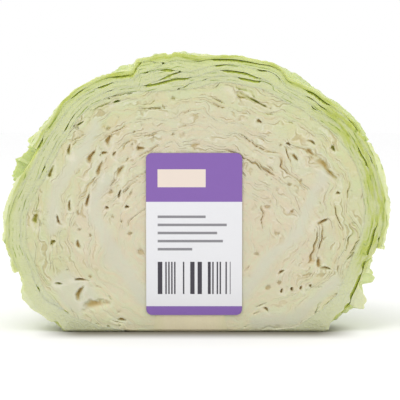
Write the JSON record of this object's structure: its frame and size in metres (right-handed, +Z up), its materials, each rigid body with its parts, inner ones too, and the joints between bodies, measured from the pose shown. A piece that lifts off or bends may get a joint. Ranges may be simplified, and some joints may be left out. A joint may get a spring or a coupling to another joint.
{
  "type": "half savoy cabbage",
  "caption": "Half a savoy cabbage cut lengthwise through the stalk, standing on its trimmed base, with a plain label on the cut face.",
  "frame": {"origin": "on the table, in the middle of the half head's footprint", "axes": "+Z up along the stalk, -Y out of the cut face, +X to the right of the cut face as one looks at it"},
  "size_m": [0.1988, 0.0958, 0.1435],
  "materials": {
    "outer_leaf": "waxy yellow-green savoy leaf with a raised net of pale veins",
    "inner_leaf": "pale green leaf, thick white-green midrib",
    "heart": "freshly cut cream leaf edges, moist, darker in the gaps",
    "stalk": "cut pale tan stalk, fibrous rim and smooth pith",
    "label_paper": "smooth coated label paper with plain printed panels and bars"
  },
  "bodies": {
    "root": {"heart": "heart", "stalk": "stalk", "leaf_1_right_rib": "inner_leaf", "leaf_2_left_back": "inner_leaf", "leaf_3_right_back": "outer_leaf", "leaf_4_left_rib": "outer_leaf", "leaf_5_right_edge": "outer_leaf", "leaf_6_left_edge": "outer_leaf", "leaf_7_back": "outer_leaf", "label": "label_paper"}
  },
  "joints": []
}
